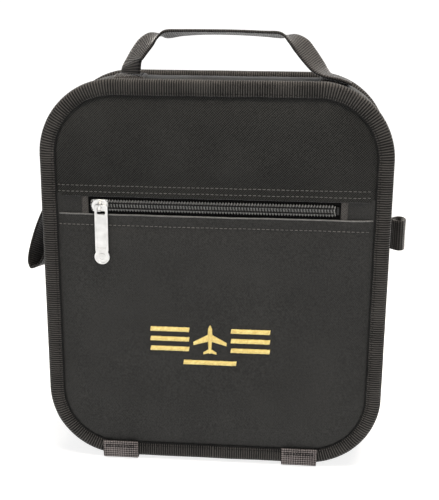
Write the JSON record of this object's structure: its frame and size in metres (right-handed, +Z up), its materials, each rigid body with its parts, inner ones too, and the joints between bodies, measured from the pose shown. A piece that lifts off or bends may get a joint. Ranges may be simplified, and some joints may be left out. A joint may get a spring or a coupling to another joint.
{
  "type": "flight bag",
  "caption": "Soft upright flight bag with a zipped flat front pocket, a back panel that unzips and folds down, a top carrying handle, side loops and webbing feet.",
  "frame": {"origin": "on the floor, under the middle of the bag's bounding box as it stands on its webbing feet", "axes": "+Z up along the bag's height, -Y out of the front pocket's face, +X to the right as seen from the front"},
  "size_m": [0.2648, 0.0848, 0.3081],
  "materials": {
    "polyester": "matt coated twill",
    "pocket_fabric": "matt plain weave",
    "grosgrain": "ribbed satin",
    "webbing": "ribbed satin",
    "zip_tape": "matt",
    "zip_coil": "satin",
    "nickel": "satin bright nickel",
    "lining": "smooth",
    "gold_thread": "satin stitched thread"
  },
  "bodies": {
    "bag": {"front_binding": "grosgrain", "pocket_upper_panel": "polyester", "pocket_lower_panel": "pocket_fabric", "pocket_end_tab_left": "pocket_fabric", "pocket_end_tab_right": "pocket_fabric", "pocket_zip_tape_upper": "zip_tape", "pocket_zip_tape_lower": "zip_tape", "pocket_zip_coil_upper": "zip_coil", "pocket_zip_coil_lower": "zip_coil", "pocket_zip_stop": "nickel", "front_padding": "polyester", "front_lining": "lining", "badge_aeroplane": "gold_thread", "badge_bar_left_1": "gold_thread", "badge_bar_left_2": "gold_thread", "badge_bar_left_3": "gold_thread", "badge_bar_right_1": "gold_thread", "badge_bar_right_2": "gold_thread", "badge_bar_right_3": "gold_thread", "badge_underline": "gold_thread", "side_wall_front": "polyester", "bottom_wall": "polyester", "main_zip_tape_front": "zip_tape", "main_zip_coil_front": "zip_coil", "main_zip_end_left": "polyester", "main_zip_end_right": "polyester", "handle_patch_left": "webbing", "handle_patch_right": "webbing", "loop_patch_left": "webbing", "loop_patch_right": "webbing", "foot_strap_left": "webbing", "foot_strap_right": "webbing"},
    "lid": {"back_binding": "grosgrain", "back_panel": "polyester", "back_padding": "polyester", "back_lining": "lining", "side_wall_back": "polyester", "main_zip_tape_back": "zip_tape", "main_zip_coil_back": "zip_coil"},
    "handle": {"handle": "webbing"},
    "side_loop_left": {"side_loop_left": "webbing"},
    "side_loop_right": {"side_loop_right": "webbing"},
    "pocket_slider": {"pocket_slider": "nickel"},
    "pocket_puller": {"pocket_puller": "nickel"},
    "main_slider": {"main_slider": "nickel"},
    "main_puller": {"main_puller": "nickel"}
  },
  "joints": [
    {"name": "lid_hinge", "type": "hinge", "parent": "bag", "child": "lid", "pos_m": [0.00019, 0.04258, 0.0017], "axis": [-1, 0, 0], "range_deg": [0, 90]},
    {"name": "pocket_slider_slide", "type": "slide", "parent": "bag", "child": "pocket_slider", "axis": [1, 0, 0], "range_m": [0, 0.15]},
    {"name": "pocket_puller_swing", "type": "hinge", "parent": "pocket_slider", "child": "pocket_puller", "pos_m": [-0.07881, -0.03997, 0.1913], "axis": [-1, 0, 0], "range_deg": [0, 160]},
    {"name": "main_slider_slide", "type": "slide", "parent": "bag", "child": "main_slider", "axis": [0, 0, 1], "range_m": [0, 0.13]},
    {"name": "main_puller_swing", "type": "hinge", "parent": "main_slider", "child": "main_puller", "pos_m": [-0.11835, 0.02038, 0.082], "axis": [0, 1, 0], "range_deg": [0, 150]},
    {"name": "handle_fold", "type": "hinge", "parent": "bag", "child": "handle", "pos_m": [0.00019, -0.00263, 0.27635], "axis": [-1, 0, 0], "range_deg": [-45, 45], "stiffness_Nm_per_rad": 0.03},
    {"name": "left_loop_swing", "type": "hinge", "parent": "bag", "child": "side_loop_left", "pos_m": [-0.11925, -0.00263, 0.184], "axis": [0, 1, 0], "range_deg": [0, 75]},
    {"name": "right_loop_swing", "type": "hinge", "parent": "bag", "child": "side_loop_right", "pos_m": [0.12024, -0.00263, 0.1685], "axis": [0, 0, 1], "range_deg": [-25, 25]}
  ]
}
